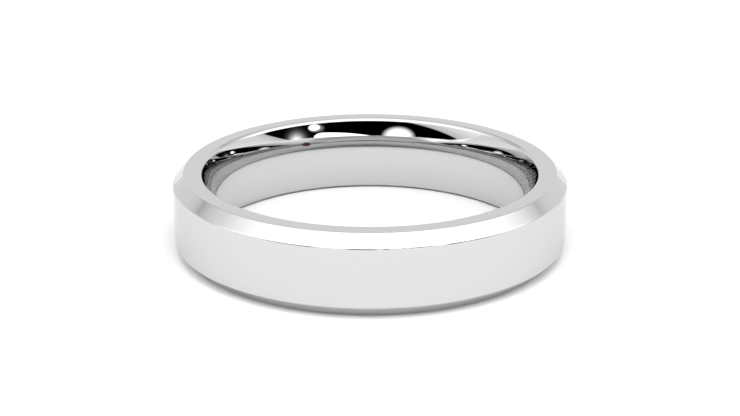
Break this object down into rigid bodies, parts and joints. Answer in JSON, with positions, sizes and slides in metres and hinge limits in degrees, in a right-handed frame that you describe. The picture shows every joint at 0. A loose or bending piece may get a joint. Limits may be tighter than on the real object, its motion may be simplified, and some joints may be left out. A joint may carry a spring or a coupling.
{
  "type": "wedding band",
  "caption": "Polished white-metal wedding band with bevelled edges, a flat outside, a comfort-fit bore and a small red stone flush-set inside the bore.",
  "frame": {"origin": "centre of the band's lower edge face, on the band's axis", "axes": "+Z along the band's axis, up from the edge face that it lies on; the stone is in the bore wall 20.9 degrees from +X towards -Y"},
  "size_m": [0.0198, 0.0198, 0.004],
  "materials": {
    "white_metal": "polished",
    "red_stone": "polished"
  },
  "bodies": {
    "root": {"band": "white_metal", "inner_gemstone": "red_stone"}
  },
  "joints": []
}
